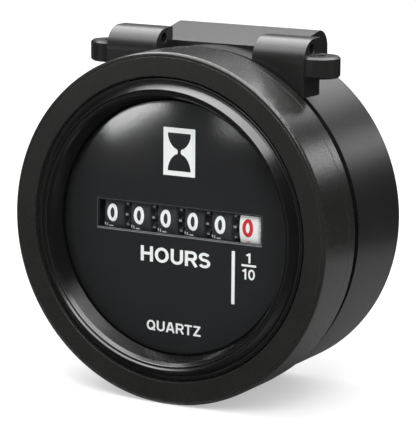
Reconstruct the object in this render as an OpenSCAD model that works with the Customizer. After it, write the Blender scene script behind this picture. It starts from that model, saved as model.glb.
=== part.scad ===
// Round panel hour meter with a six-wheel counter and a moulded hinge bracket.
// Lengths are in millimetres. +Z is up, the dial faces -Y, +X is right seen from the front.
// The origin lies midway between the two ear holes, on the underside of the ears.
// Every piece is first drawn about the dial axis with the ring face at y = 0, then shifted once.

/* [Front ring] */
// Outside diameter of the front ring
ring_d = 58; // [55:0.5:64]
// Length of the front ring from its face to its rear end
ring_len = 10.9; // [10.7:0.1:14]
// Radius of the rounded outer front edge
ring_edge_r = 0.5; // [0.3:0.05:1.6]
// Width of the flat face, from the outside to the collar
face_w = 3.8; // [3:0.1:5]
// Thickness of the face flange
flange_t = 2.4; // [1.8:0.1:3]
// Wall of the skirt behind the flange
skirt_t = 2; // [1.4:0.1:2.4]
// Length of the stepped band at the rear of the skirt
band_len = 2.4; // [1.6:0.1:4]
// Depth of the step at the band
band_step = 0.1; // [0.05:0.05:0.5]
// Width of the groove in front of the band
band_groove_w = 0.3; // [0.2:0.05:0.5]
// Depth of the groove in front of the band
band_groove_h = 0.3; // [0.2:0.05:0.5]
// Chamfer on the edges beside the seal
seal_chamfer = 0.3; // [0.1:0.05:0.5]
// Width of the fine line turned into the face near its outer edge
face_line_w = 0.25; // [0.15:0.05:0.4]

/* [Lens ring and lens] */
// Radial width of the collar, from the face to the lens opening
collar_w = 4; // [3:0.1:5]
// How far the collar crest stands in front of the face
collar_rise = 1.1; // [0.6:0.1:2]
// Distance from the lens opening to the main crest of the collar
crest_set = 1.85; // [1.5:0.05:2.4]
// Distance between the main crest and the small inner crest of the collar
crest_gap = 0.7; // [0.5:0.05:0.9]
// Depth of the small valley between the two crests
crest_dip = 0.35; // [0.2:0.05:0.6]
// Clearance between the collar and the front ring
collar_clear = 0.1; // [0.05:0.05:0.2]
// Depth of the lens seat behind the face
lens_seat = 2.6; // [2.5:0.05:2.8]
// Thickness of the lens rim
lens_rim_t = 1; // [0.8:0.05:1.2]
// Height of the lens dome in front of its seat
lens_dome = 1.2; // [0.6:0.1:2]
// Width of the lens rim held under the collar
lens_lap = 2.7; // [1.5:0.1:2.8]
// Thickness of the gasket behind the lens rim
gasket_t = 0.6; // [0.3:0.05:0.8]

/* [Dial] */
// Thickness of the dial plate
dial_t = 0.4; // [0.3:0.05:0.8]
// Height of the counter window
window_h = 5.1; // [4:0.1:6.5]
// Window margin beyond the row of wheels, at each end
window_margin = 0.2; // [0.1:0.1:1]
// Height of the window centre above the dial axis
window_z = 0.8; // [0:0.1:3]
// Width of the light edge that lines the window
trim_w = 0.28; // [0.15:0.01:0.5]

/* [Number wheels] */
// Distance from one number wheel to the next
wheel_pitch = 5.1; // [4.9:0.05:5.2]
// Diameter of the figure drums
drum_d = 13; // [12:0.1:13.5]
// Width of each figure drum
drum_w = 3.7; // [3.2:0.1:3.9]
// Rounding of the drum edges
drum_edge = 0.25; // [0.1:0.05:0.4]
// Gap between the rear of the dial and the drums
drum_gap = 0.2; // [0.15:0.05:0.6]
// Diameter of the shaft that carries the wheels
shaft_d = 1.6; // [1.2:0.1:1.8]
// Running clearance between a shaft and what turns on it, on the radius
run_clear = 0.05; // [0.02:0.01:0.1]
// Side clearance between neighbouring turning pieces
side_clear = 0.12; // [0.1:0.01:0.2]
// Clearance between the drums and the shaft of the pinions
drum_clear = 0.3; // [0.2:0.05:0.5]
// Teeth on the gear of each number wheel
wheel_teeth = 20;
// Teeth on each transfer pinion
pinion_teeth = 8;
// Diameter of the shaft that carries the pinions
pinion_shaft_d = 1.2; // [0.9:0.1:1.4]
// Added to the centre distance of every gear pair, for free running
mesh_clear = 0.05; // [0.03:0.01:0.1]

/* [Drive train] */
// Module of the drive gears
drive_module = 0.3; // [0.28:0.005:0.305]
// Teeth on the drive gear of the tenths wheel
drive_teeth = 40;
// Teeth on the small gear of the intermediate gear
small_teeth = 10;
// Teeth on the large gear of the intermediate gear
large_teeth = 40;
// Teeth on the motor pinion
motor_teeth = 8;
// Width of the drive gears
drive_w = 1; // [0.8:0.05:1.1]
// Diameter of the fixed pins that carry the intermediate gear and the rotor
arbor_d = 0.7; // [0.5:0.05:0.8]
// Diameter of the rotor magnet
magnet_d = 3.2; // [2.6:0.1:3.6]
// Length of the rotor magnet
magnet_len = 1.8; // [1.4:0.1:2.4]
// Air gap between magnet and poles
air_gap = 0.3; // [0.2:0.05:0.5]
// Height of each stator leg
leg_h = 1.6; // [1.2:0.1:1.8]
// Thickness of the stator, front to back
stator_t = 1.6; // [1.2:0.1:1.8]
// Length of the stator legs
leg_len = 13.6; // [12:0.1:15]
// Outside diameter of the coil
coil_d = 5; // [4.4:0.1:5.2]
// Length of the coil bobbin
coil_len = 8; // [6:0.1:8.5]

/* [Counter frame] */
// Sheet thickness of the counter frame
sheet_t = 0.9; // [0.6:0.1:1.2]
// Height of the frame cheeks
cheek_h = 17; // [16.2:0.1:18]
// Diameter of the frame screws
screw_d = 1.6; // [1.2:0.1:2]
// Grip of the frame screws in their posts
screw_grip = 4; // [3:0.1:5]
// Diameter of the posts that carry frame and board
post_d = 4; // [3.6:0.1:4.4]
// Largest height of the frame posts above and below the dial axis
post_rise = 8; // [6:0.1:9]
// Clearance between the posts or screws and what lies beside them
post_clear = 0.4; // [0.2:0.05:0.6]
// Clearance around each screw, on the radius
screw_clear = 0.1; // [0.05:0.05:0.2]

/* [Rear housing] */
// How far the housing lies below the front ring, on the radius
housing_step = 0.6; // [0.3:0.05:0.9]
// Length of the rear housing behind the seal
housing_len = 17.1; // [16.9:0.1:24]
// Side wall of the rear housing
wall_t = 3.4; // [2.6:0.1:3.6]
// Thickness of the back wall
back_t = 2; // [1.5:0.1:2.2]
// Chamfer round the back
back_chamfer = 0.7; // [0.3:0.1:1.2]
// Thickness of the seal between front ring and housing
seal_t = 1; // [0.6:0.1:1.4]
// How far the seal stays below the surface
seal_inset = 0.4; // [0.3:0.1:1]
// Clearance between the spigot and the ring skirt
spigot_clear = 0.1; // [0.05:0.05:0.2]

/* [Hinge bracket] */
// Length of each hinge knuckle
knuckle_len = 9.4; // [6:0.1:11]
// Gap between the two knuckles
knuckle_gap = 18.2; // [14:0.1:22]
// Depth of the knuckles, front to back
knuckle_depth = 5.8; // [5:0.1:7]
// Height of the knuckles above the top of the housing
knuckle_rise = 2.5; // [2.4:0.1:4.5]
// Radius of the rounded front edge of the knuckles
knuckle_round = 3.8; // [2:0.1:4.2]
// Diameter of the hinge pin hole
pin_hole_d = 1.8; // [1.2:0.1:2]
// Wall left above the hinge pin hole
pin_cover = 0.75; // [0.6:0.05:1]
// Width of the block behind the knuckles
block_w = 26.8; // [22:0.1:30]
// Height of the rear of the block above the top of the housing
block_rise = 2.3; // [1.5:0.1:4]
// Height of the front of the block above the top of the housing
block_lip = 0.3; // [0.1:0.1:1]
// How far the block stands behind the back of the housing
block_over = 1.6; // [0.5:0.1:3]
// How far the rear of the block reaches below the top of the housing
block_under = 2; // [1:0.1:3]
// Radius of the rounded rear edge of the block
block_round = 3; // [1:0.1:4]
// Radius of the ears
ear_r = 3.3; // [2.8:0.1:3.6]
// Thickness of the ears
ear_t = 3.5; // [2.5:0.1:4]
// How far the ear centres lie beyond the knuckle ends
ear_reach = 1.3; // [1:0.1:3]
// How far the ear tops stay below the hinge pin hole
ear_drop = 0.1; // [0.05:0.05:0.6]
// Diameter of the ear holes
ear_hole_d = 1.8; // [1.4:0.1:2.4]
// Chamfer on the ear edges
ear_chamfer = 0.35; // [0.2:0.05:0.6]

/* [Board and terminals] */
// Width of the circuit board
board_w = 33; // [28:0.5:34]
// Height of the circuit board
board_h = 27; // [24:0.5:28]
// Thickness of the circuit board
board_t = 1; // [0.8:0.1:1.2]
// Gap between board and back wall
board_gap = 0.6; // [0.4:0.1:0.8]
// Height of the board centre above the dial axis
board_z = -1.5; // [-3:0.1:0]
// Width of the timing chip
chip_w = 5; // [4:0.1:6]
// Height of the timing chip
chip_h = 4; // [3:0.1:5]
// Thickness of the timing chip
chip_t = 1.5; // [1:0.1:2]
// Diameter of the crystal can
can_d = 2; // [1.5:0.1:2.2]
// Length of the crystal can
can_len = 6; // [5:0.1:7]
// Diameter of the capacitor
cap_d = 4; // [3:0.1:4.4]
// Length of the capacitor
cap_len = 8; // [6:0.1:9]
// Distance of the chip and the can from the left edge of the board
chip_margin = 4; // [3:0.1:5]
// Distance of the chip centre below the centre of the board
chip_drop = 5.5; // [5:0.1:6.5]
// Distance of the can below the centre of the board
can_drop = 10.5; // [9.5:0.1:11]
// Distance of the capacitor from the middle of the board
cap_side = 2; // [1.5:0.1:4]
// Distance of the capacitor below the centre of the board
cap_drop = 7.5; // [6.5:0.1:8.5]
// Grip of the board screws in the back wall
board_grip = 0.8; // [0.6:0.1:1]
// Width of each blade terminal
blade_w = 6.3; // [4.8:0.1:6.6]
// Thickness of each blade terminal
blade_t = 0.8; // [0.5:0.1:1]
// Length of each blade behind the back wall
blade_out = 8.5; // [6:0.1:10]
// Height of the blades above the dial axis
terminal_z = -4; // [-6:0.1:-3]
// Distance between the blade centres
blade_pitch = 16; // [14:0.1:18]
// Diameter of the hole in each blade
blade_hole_d = 1.7; // [1.2:0.1:2]

/* [Hidden] */
$fn = 96;
wheel_count = 6;
dome_steps = 12;
eps = 0.2;

// Radii about the dial axis
ring_r = ring_d / 2;
face_in_r = ring_r - face_w;
collar_r = face_in_r - 0.25 - collar_clear;
lens_open_r = face_in_r - collar_w;
lens_r = lens_open_r + lens_lap;
crest_out_r = lens_open_r + crest_set;
crest_in_r = crest_out_r - crest_gap;
skirt_in_r = ring_r - skirt_t;
spigot_r = skirt_in_r - spigot_clear;
housing_r = ring_r - housing_step;
cavity_r = housing_r - wall_t;
dial_r = spigot_r - 0.4;

// Positions along the dial axis, front to back
gasket_y = lens_seat + lens_rim_t;
dial_y = gasket_y + gasket_t;
spigot_y = dial_y + dial_t;
drum_y = spigot_y + drum_gap;
shaft_y = drum_y + drum_d / 2;
shoulder_y = ring_len + seal_t;
back_y = shoulder_y + housing_len;
cavity_y = back_y - back_t;
board_rear_y = cavity_y - board_gap;
board_y = board_rear_y - board_t;

// Counter
window_w = wheel_count * wheel_pitch + 2 * window_margin;
wheel_gear_w = wheel_pitch - drum_w - 0.9;
carry_w = 0.7;
drum_r = drum_d / 2;
pinion_dist = drum_r + drum_clear + pinion_shaft_d / 2;
carry_module = 2 * (pinion_dist - mesh_clear) / (wheel_teeth + pinion_teeth);
pinion_tip_r = carry_module * (pinion_teeth / 2 + 0.75);
pinion_angle = -80;
pinion_y = shaft_y + pinion_dist * cos(pinion_angle);
pinion_z = window_z + pinion_dist * sin(pinion_angle);
lock_r = pinion_dist - pinion_tip_r - 0.6;
wheel_x = [for (k = [0:wheel_count - 1]) (k - (wheel_count - 1) / 2) * wheel_pitch];
tenths_x = wheel_x[wheel_count - 1];

// Drive train
train_angle = 50;
rotor_angle = -33;
drive_r = drive_module * drive_teeth / 2;
small_r = drive_module * small_teeth / 2;
large_r = drive_module * large_teeth / 2;
motor_r = drive_module * motor_teeth / 2;
train_dist = drive_r + small_r + mesh_clear;
inter_y = shaft_y + train_dist * cos(train_angle);
inter_z = window_z + train_dist * sin(train_angle);
rotor_dist = large_r + motor_r + mesh_clear;
rotor_y = inter_y + rotor_dist * cos(rotor_angle);
rotor_z = inter_z + rotor_dist * sin(rotor_angle);
drive_x = tenths_x + drum_w / 2;
large_x = drive_x + drive_w + side_clear;
large_w = 0.8;
cheek_right_x = large_x + large_w + 0.4;
cheek_left_x = wheel_x[0] - drum_w / 2 - carry_w - 0.4 - sheet_t;
magnet_x = drive_x - 2.5;
pole_r = magnet_d / 2 + air_gap;
stator_x = magnet_x + magnet_len - leg_len;
upper_leg_z = rotor_z + pole_r - 0.35;
lower_leg_z = rotor_z - pole_r + 0.35 - leg_h;
coil_z = upper_leg_z + leg_h / 2;
coil_x = stator_x + leg_h + 0.6;
tube_r = sqrt(leg_h * leg_h + stator_t * stator_t) / 2 + 0.25;

// Counter frame
base_y = max(shaft_y + drum_r, pinion_y + pinion_tip_r) + 0.6;
base_rear_y = base_y + sheet_t;
cheek_z = window_z - cheek_h / 2;
post_r = post_d / 2;
screw_head_r = screw_d;
post_x = max(cheek_right_x + sheet_t, board_w / 2) + post_r + post_clear;
post_room = pow(cavity_r - screw_head_r - post_clear, 2) - post_x * post_x;
post_z = min(post_rise, sqrt(max(1, post_room)));
tab_h = 2 * post_r + post_clear;
screw_head_t = 1;
frame_posts = [[-post_x, post_z], [-post_x, -post_z], [post_x, -post_z]];
board_posts = [[-board_w / 2 + 2.5, board_z + board_h / 2 - 2.5],
    [board_w / 2 - 2.5, board_z + board_h / 2 - 2.5], [0, board_z - board_h / 2 + 2]];

// Bracket
knuckle_in_x = knuckle_gap / 2;
knuckle_out_x = knuckle_in_x + knuckle_len;
knuckle_top = housing_r + knuckle_rise;
block_top = housing_r + block_rise;
block_y = shoulder_y + knuckle_depth - 0.3;
block_rear_y = back_y + block_over;
bracket_foot = sqrt(max(1, pow(housing_r - 2, 2) - knuckle_out_x * knuckle_out_x));
pin_z = knuckle_top - pin_cover - pin_hole_d / 2;
pin_y = shoulder_y + knuckle_depth / 2;
ear_x = knuckle_out_x + ear_reach;
ear_y = shoulder_y + ear_r + 0.05;
ear_top = pin_z - pin_hole_d / 2 - ear_drop;
ear_seat = ear_top - ear_t;

// Outline of a spur gear with thin straight-sided teeth
function gear_points(teeth, mod, phase) = [
    for (i = [0:teeth - 1])
        for (c = [[-0.25, -1.05], [-0.1, 0.75], [0.1, 0.75], [0.25, -1.05]])
            let (a = phase + (i + c[0]) * 360 / teeth, r = mod * (teeth / 2 + c[1]))
                [r * cos(a), r * sin(a)]
];

// Depth of the lens dome at a share of its half width
function dome_y(share, half_w, edge_y) =
    let (ball = (half_w * half_w + lens_dome * lens_dome) / (2 * lens_dome))
        edge_y - lens_dome + ball - sqrt(ball * ball - pow(half_w * share, 2));

// Moves a piece from the dial axis to the frame of the ear holes
module placed() {
    translate([0, -ear_y, -ear_seat]) children();
}

// Turns a flat outline of radius and depth about the dial axis
module turned() {
    rotate([-90, 0, 0]) rotate_extrude() children();
}

// Stretches a flat outline of depth and height along X
module along_x(x, len) {
    translate([x, 0, 0]) rotate([90, 0, 90]) linear_extrude(len) children();
}

// Round bar along X
module bar_x(x, y, z, r, len) {
    translate([x, y, z]) rotate([0, 90, 0]) cylinder(h = len, r = r, $fn = 48);
}

// Round bar along Y
module bar_y(x, y, z, r, len) {
    translate([x, y, z]) rotate([-90, 0, 0]) cylinder(h = len, r = r, $fn = 48);
}

// Block from its lowest corner
module block(x, y, z, w, d, h) {
    translate([x, y, z]) cube([w, d, h]);
}

// Gear on an axis along X
module gear_x(x, y, z, teeth, mod, phase, len) {
    translate([0, y, z]) along_x(x, len) polygon(gear_points(teeth, mod, phase));
}

// Black outer ring with a flat face, a rounded edge and a stepped skirt
module front_ring() {
    color("#1d1e20") turned() difference() {
        polygon([
            [face_in_r, 0], [ring_r, 0], [ring_r, ring_len - band_len - band_groove_w],
            [ring_r - band_groove_h, ring_len - band_len - band_groove_w],
            [ring_r - band_groove_h, ring_len - band_len], [ring_r - band_step, ring_len - band_len],
            [ring_r - band_step, ring_len - seal_chamfer], [ring_r - band_step - seal_chamfer, ring_len],
            [skirt_in_r, ring_len], [skirt_in_r, flange_t],
            [face_in_r - 0.25, flange_t], [face_in_r - 0.25, 0.4]
        ]);
        difference() {
            translate([ring_r - ring_edge_r, -1]) square([ring_edge_r + 1, ring_edge_r + 1]);
            translate([ring_r - ring_edge_r, ring_edge_r]) circle(r = ring_edge_r);
        }
        translate([ring_r - ring_edge_r - face_line_w, -1]) square([face_line_w, 1.2]);
    }
}

// Raised collar with two crests, held behind the flange of the front ring
module lens_ring() {
    color("#2a2b2d") turned() polygon([
        [collar_r, flange_t], [collar_r, 0.45], [collar_r - 0.15, 0.25],
        [collar_r - 0.5, 0.25], [collar_r - 0.6, 0.4], [collar_r - 0.7, 0.3],
        [crest_out_r + 0.12, 0.05 - collar_rise], [crest_out_r, -collar_rise],
        [crest_out_r - 0.12, 0.05 - collar_rise],
        [crest_out_r - crest_gap / 2, crest_dip - collar_rise],
        [crest_in_r, 0.25 - collar_rise], [crest_in_r - 0.12, 0.4 - collar_rise],
        [crest_in_r - 0.45, 0.9 - collar_rise], [lens_open_r, lens_seat - 0.3],
        [lens_open_r, lens_seat], [lens_r + 0.1, lens_seat], [lens_r + 0.1, dial_y],
        [dial_r, dial_y], [dial_r, flange_t]
    ]);
}

// Clear domed window with a flat rim
module lens() {
    dome_w = lens_open_r - 0.1;
    inner_w = lens_open_r - 0.5;
    color("#cfd8dc") turned() polygon(concat(
        [for (i = [0:dome_steps]) [dome_w * i / dome_steps, dome_y(i / dome_steps, dome_w, lens_seat)]],
        [[lens_r, lens_seat], [lens_r, gasket_y]],
        [for (i = [dome_steps:-1:0]) [inner_w * i / dome_steps, dome_y(i / dome_steps, inner_w, gasket_y)]]
    ));
}

// Rubber ring between the lens rim and the dial
module lens_gasket() {
    color("#161616") turned()
        translate([lens_open_r + 0.8, gasket_y]) square([lens_lap - 0.8, gasket_t]);
}

// Printed dial with the counter window
module dial_plate() {
    color("#26282b") difference() {
        bar_y(0, dial_y, 0, dial_r, dial_t);
        block(-window_w / 2, dial_y - 1, window_z - window_h / 2, window_w, dial_t + 2, window_h);
    }
}

// Thin light edge that lines the window
module window_frame() {
    color("#9a9c9e") difference() {
        block(-window_w / 2, dial_y + 0.1, window_z - window_h / 2, window_w, dial_t, window_h);
        block(trim_w - window_w / 2, dial_y - 1, trim_w + window_z - window_h / 2,
            window_w - 2 * trim_w, dial_t + 2, window_h - 2 * trim_w);
    }
}

// Drum with rounded edges, about the counter shaft
module drum(x) {
    translate([x, shaft_y, window_z]) rotate([0, 90, 0]) rotate_extrude() polygon([
        [shaft_d / 2 + run_clear, -drum_w / 2], [drum_d / 2 - drum_edge, -drum_w / 2],
        [drum_d / 2, drum_edge - drum_w / 2], [drum_d / 2, drum_w / 2 - drum_edge],
        [drum_d / 2 - drum_edge, drum_w / 2], [shaft_d / 2 + run_clear, drum_w / 2]
    ]);
}

// Locking disc with the two carry teeth, at the left of a drum
module carry_side(x) {
    bar_x(x - drum_w / 2 - carry_w, shaft_y, window_z, lock_r, carry_w + eps);
    translate([0, shaft_y, window_z]) along_x(x - drum_w / 2 - carry_w, carry_w + eps)
        for (a = [150, 168])
            rotate(a) translate([lock_r - 0.5, -0.25]) square([0.9, 0.5]);
}

// Figure wheel with its gear at the right
module number_wheel(k) {
    difference() {
        union() {
            drum(wheel_x[k]);
            carry_side(wheel_x[k]);
            gear_x(wheel_x[k] + drum_w / 2 - eps, shaft_y, window_z, wheel_teeth, carry_module,
                pinion_angle + 180 / wheel_teeth, wheel_gear_w + eps);
        }
        bar_x(wheel_x[k] - wheel_pitch, shaft_y, window_z, shaft_d / 2 + run_clear, 2 * wheel_pitch);
    }
}

// Ten-thousands wheel
module wheel_1() {
    color("#202124") number_wheel(0);
}

// Thousands wheel
module wheel_2() {
    color("#202124") number_wheel(1);
}

// Hundreds wheel
module wheel_3() {
    color("#202124") number_wheel(2);
}

// Tens wheel
module wheel_4() {
    color("#202124") number_wheel(3);
}

// Units wheel
module wheel_5() {
    color("#202124") number_wheel(4);
}

// White tenths wheel with the drive gear at its right
module wheel_6() {
    color("#e8e6e0") difference() {
        union() {
            drum(tenths_x);
            carry_side(tenths_x);
            gear_x(drive_x - eps, shaft_y, window_z, drive_teeth, drive_module,
                train_angle + 180 / drive_teeth, drive_w + eps);
        }
        bar_x(tenths_x - wheel_pitch, shaft_y, window_z, shaft_d / 2 + run_clear, 2 * wheel_pitch);
    }
}

// Steel shaft of the number wheels, held in the cheeks
module counter_shaft() {
    color("#b9bcc0") bar_x(cheek_left_x, shaft_y, window_z, shaft_d / 2,
        cheek_right_x + sheet_t - cheek_left_x);
}

// Pinion between wheel k and its right neighbour
module transfer_pinion(k) {
    difference() {
        gear_x(wheel_x[k] + drum_w / 2 + side_clear, pinion_y, pinion_z, pinion_teeth,
            carry_module, pinion_angle + 180, wheel_pitch - drum_w - 2 * side_clear);
        bar_x(wheel_x[k], pinion_y, pinion_z, pinion_shaft_d / 2 + run_clear, wheel_pitch);
    }
}

// Pinion between the ten-thousands and the thousands wheel
module pinion_1() {
    color("#d9d7cf") transfer_pinion(0);
}

// Pinion between the thousands and the hundreds wheel
module pinion_2() {
    color("#d9d7cf") transfer_pinion(1);
}

// Pinion between the hundreds and the tens wheel
module pinion_3() {
    color("#d9d7cf") transfer_pinion(2);
}

// Pinion between the tens and the units wheel
module pinion_4() {
    color("#d9d7cf") transfer_pinion(3);
}

// Pinion between the units and the tenths wheel
module pinion_5() {
    color("#d9d7cf") transfer_pinion(4);
}

// Steel shaft of the pinions, held in the cheeks
module pinion_shaft() {
    color("#b9bcc0") bar_x(cheek_left_x, pinion_y, pinion_z, pinion_shaft_d / 2,
        cheek_right_x + sheet_t - cheek_left_x);
}

// Folded sheet frame: two cheeks, a base behind the wheels and two pillars for the stator
module counter_frame() {
    left_w = post_x + tab_h / 2;
    open_x = magnet_x + 2.3;
    color("#a9adb2") difference() {
        union() {
            block(cheek_left_x, spigot_y + 0.4, cheek_z, sheet_t, base_rear_y - spigot_y - 0.4, cheek_h);
            block(cheek_right_x, spigot_y + 0.4, cheek_z, sheet_t, rotor_y + 2 - spigot_y - 0.4, cheek_h);
            intersection() {
                union() {
                    block(-left_w, base_y, cheek_z, left_w + open_x, sheet_t, cheek_h);
                    block(-left_w, base_y, -post_z - tab_h / 2, left_w + cheek_left_x + 2, sheet_t,
                        2 * post_z + tab_h);
                    block(cheek_left_x, base_y, -post_z - tab_h / 2, left_w - cheek_left_x, sheet_t, tab_h);
                }
                bar_y(0, base_y - 1, 0, cavity_r - post_clear, sheet_t + 2);
            }
            for (z = [lower_leg_z + leg_h / 2, coil_z])
                bar_y(stator_x + leg_h / 2, base_rear_y - eps, z, 0.8,
                    rotor_y - stator_t / 2 - base_rear_y + eps);
        }
        bar_x(cheek_left_x - 1, shaft_y, window_z, shaft_d / 2, cheek_right_x - cheek_left_x + 4);
        bar_x(cheek_left_x - 1, pinion_y, pinion_z, pinion_shaft_d / 2, cheek_right_x - cheek_left_x + 4);
        bar_x(cheek_right_x - 1, inter_y, inter_z, arbor_d / 2, sheet_t + 2);
        bar_x(cheek_right_x - 1, rotor_y, rotor_z, arbor_d / 2, sheet_t + 2);
        for (p = frame_posts)
            bar_y(p[0], base_y - 1, p[1], screw_d / 2 + screw_clear, sheet_t + 2);
    }
}

// Compound gear between the motor pinion and the tenths wheel
module intermediate_gear() {
    color("#e4e2da") difference() {
        union() {
            gear_x(drive_x + side_clear, inter_y, inter_z, small_teeth, drive_module,
                train_angle + 180, drive_w + eps);
            gear_x(large_x, inter_y, inter_z, large_teeth, drive_module,
                rotor_angle + 180 / large_teeth, large_w);
        }
        bar_x(drive_x - 1, inter_y, inter_z, arbor_d / 2 + run_clear, 5);
    }
}

// Fixed pin of the intermediate gear
module gear_arbor() {
    color("#b9bcc0") bar_x(drive_x, inter_y, inter_z, arbor_d / 2, cheek_right_x + sheet_t - drive_x);
}

// Magnet, sleeve and pinion of the motor
module motor_rotor() {
    color("#6f7276") difference() {
        union() {
            bar_x(magnet_x, rotor_y, rotor_z, magnet_d / 2, magnet_len);
            bar_x(magnet_x + eps, rotor_y, rotor_z, 0.8, large_x - magnet_x);
            gear_x(large_x, rotor_y, rotor_z, motor_teeth, drive_module, rotor_angle + 180, large_w);
        }
        bar_x(magnet_x - 1, rotor_y, rotor_z, arbor_d / 2 + run_clear, 8);
    }
}

// Fixed pin of the rotor
module rotor_arbor() {
    color("#b9bcc0") bar_x(magnet_x - 0.4, rotor_y, rotor_z, arbor_d / 2,
        cheek_right_x + sheet_t - magnet_x + 0.4);
}

// Iron circuit with a pole above and below the rotor
module stator() {
    color("#8b8f94") difference() {
        union() {
            block(stator_x, rotor_y - stator_t / 2, upper_leg_z, leg_len, stator_t, leg_h);
            block(stator_x, rotor_y - stator_t / 2, lower_leg_z, leg_len, stator_t, leg_h);
            block(stator_x, rotor_y - stator_t / 2, lower_leg_z, leg_h, stator_t,
                upper_leg_z + leg_h - lower_leg_z);
        }
        bar_x(magnet_x - 0.6, rotor_y, rotor_z, pole_r, magnet_len + 2);
    }
}

// Bobbin on the upper leg of the stator
module coil_bobbin() {
    color("#d8d2c2") difference() {
        union() {
            bar_x(coil_x, rotor_y, coil_z, tube_r, coil_len);
            bar_x(coil_x, rotor_y, coil_z, coil_d / 2, 0.6);
            bar_x(coil_x + coil_len - 0.6, rotor_y, coil_z, coil_d / 2, 0.6);
        }
        block(coil_x - 1, rotor_y - stator_t / 2, upper_leg_z, coil_len + 2, stator_t, leg_h);
    }
}

// Copper winding on the bobbin
module coil_winding() {
    color("#b5693a") difference() {
        bar_x(coil_x + 0.6, rotor_y, coil_z, coil_d / 2 - 0.3, coil_len - 1.2);
        bar_x(coil_x, rotor_y, coil_z, tube_r, coil_len);
    }
}

// Board that carries the timing circuit
module circuit_board() {
    color("#2f6b45") difference() {
        block(-board_w / 2, board_y, board_z - board_h / 2, board_w, board_t, board_h);
        for (p = board_posts)
            bar_y(p[0], board_y - 1, p[1], screw_d / 2 + screw_clear, board_t + 2);
    }
}

// Timing chip on the board
module timer_chip() {
    color("#1a1a1c") block(chip_margin + 0.5 - board_w / 2, board_y - chip_t,
        board_z - chip_drop - chip_h / 2, chip_w, chip_t, chip_h);
}

// Crystal in its small can
module crystal_can() {
    color("#c9ccd0") bar_x(chip_margin - board_w / 2, board_y - can_d / 2, board_z - can_drop,
        can_d / 2, can_len);
}

// Smoothing capacitor lying on the board
module capacitor() {
    color("#34465e") bar_x(cap_side, board_y - cap_d / 2, board_z - cap_drop, cap_d / 2, cap_len);
}

// Screw with a round head, pointing backwards
module screw(x, y, z, len) {
    bar_y(x, y - screw_head_t, z, screw_head_r, screw_head_t);
    bar_y(x, y - eps, z, screw_d / 2, len + eps);
}

// Screws that hold the board to the back wall
module board_screws() {
    color("#b9bcc0") for (p = board_posts) 
        screw(p[0], board_y, p[1], board_t + board_gap + board_grip);
}

// Screws that hold the counter frame to the housing posts
module frame_screws() {
    color("#b9bcc0") for (p = frame_posts) screw(p[0], base_y, p[1], sheet_t + screw_grip);
}

// Outline of a hinge knuckle, depth and height
module knuckle_outline() {
    difference() {
        translate([shoulder_y, bracket_foot]) square([knuckle_depth, knuckle_top - bracket_foot]);
        difference() {
            translate([shoulder_y - 1, knuckle_top - knuckle_round])
                square([knuckle_round + 1, knuckle_round + 1]);
            translate([shoulder_y + knuckle_round, knuckle_top - knuckle_round])
                circle(r = knuckle_round);
        }
    }
}

// Outline of the ramp-shaped block behind the knuckles, depth and height
module block_outline() {
    difference() {
        polygon([
            [block_y, bracket_foot], [back_y - 1, bracket_foot], [back_y - 1, housing_r - block_under],
            [block_rear_y, housing_r - block_under], [block_rear_y, block_top],
            [block_rear_y - block_round, block_top], [block_y, housing_r + block_lip]
        ]);
        difference() {
            translate([block_rear_y - block_round, block_top - block_round])
                square([block_round + 1, block_round + 1]);
            translate([block_rear_y - block_round, block_top - block_round])
                circle(r = block_round);
        }
    }
}

// Round ear with chamfered edges, joined to the end of a knuckle
module ear(side) {
    translate([side * ear_x, ear_y, ear_seat]) {
        cylinder(h = ear_chamfer, r1 = ear_r - ear_chamfer, r2 = ear_r);
        translate([0, 0, ear_chamfer]) cylinder(h = ear_t - 2 * ear_chamfer, r = ear_r);
        translate([0, 0, ear_t - ear_chamfer])
            cylinder(h = ear_chamfer, r1 = ear_r, r2 = ear_r - ear_chamfer);
    }
    translate([side * (ear_x + knuckle_out_x - 0.5) / 2, ear_y, ear_seat + ear_t / 2])
        cube([ear_x - knuckle_out_x + 0.5, 2 * (ear_r - ear_chamfer), ear_t], center = true);
}

// Cup with the hinge bracket, inner posts and the slots for the terminals
module rear_housing() {
    color("#1d1e20") difference() {
        union() {
            difference() {
                union() {
                    turned() polygon([
                        [0, spigot_y], [spigot_r, spigot_y], [spigot_r, shoulder_y],
                        [housing_r - seal_chamfer, shoulder_y], [housing_r, shoulder_y + seal_chamfer],
                        [housing_r, back_y - back_chamfer], [housing_r - back_chamfer, back_y],
                        [0, back_y]
                    ]);
                    along_x(knuckle_in_x, knuckle_len) knuckle_outline();
                    along_x(-knuckle_out_x, knuckle_len) knuckle_outline();
                    along_x(-block_w / 2, block_w) block_outline();
                    ear(1);
                    ear(-1);
                }
                bar_y(0, spigot_y - 1, 0, cavity_r, cavity_y - spigot_y + 1);
            }
            for (p = frame_posts)
                bar_y(p[0], base_rear_y, p[1], post_r, cavity_y - base_rear_y + eps);
            for (p = board_posts)
                bar_y(p[0], board_rear_y, p[1], post_r, board_gap + eps);
        }
        for (p = frame_posts)
            bar_y(p[0], base_rear_y - 1, p[1], screw_d / 2 + 0.02, screw_grip + 2);
        for (p = board_posts)
            bar_y(p[0], board_rear_y - 1, p[1], screw_d / 2 + 0.02, board_gap + board_grip + 1.2);
        for (s = [-1, 1]) {
            block(s * blade_pitch / 2 - blade_w / 2, cavity_y - 1, terminal_z - blade_t / 2,
                blade_w, back_t + 2, blade_t);
            translate([s * ear_x, ear_y, ear_seat - 1]) cylinder(h = ear_t + 2, r = ear_hole_d / 2, $fn = 48);
        }
        bar_x(-knuckle_out_x - 1, pin_y, pin_z, pin_hole_d / 2, 2 * knuckle_out_x + 2);
    }
}

// Flat seal between the front ring and the housing shoulder
module housing_seal() {
    color("#0e0e0e") turned()
        translate([spigot_r, ring_len]) square([housing_r - seal_inset - spigot_r, seal_t]);
}

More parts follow.
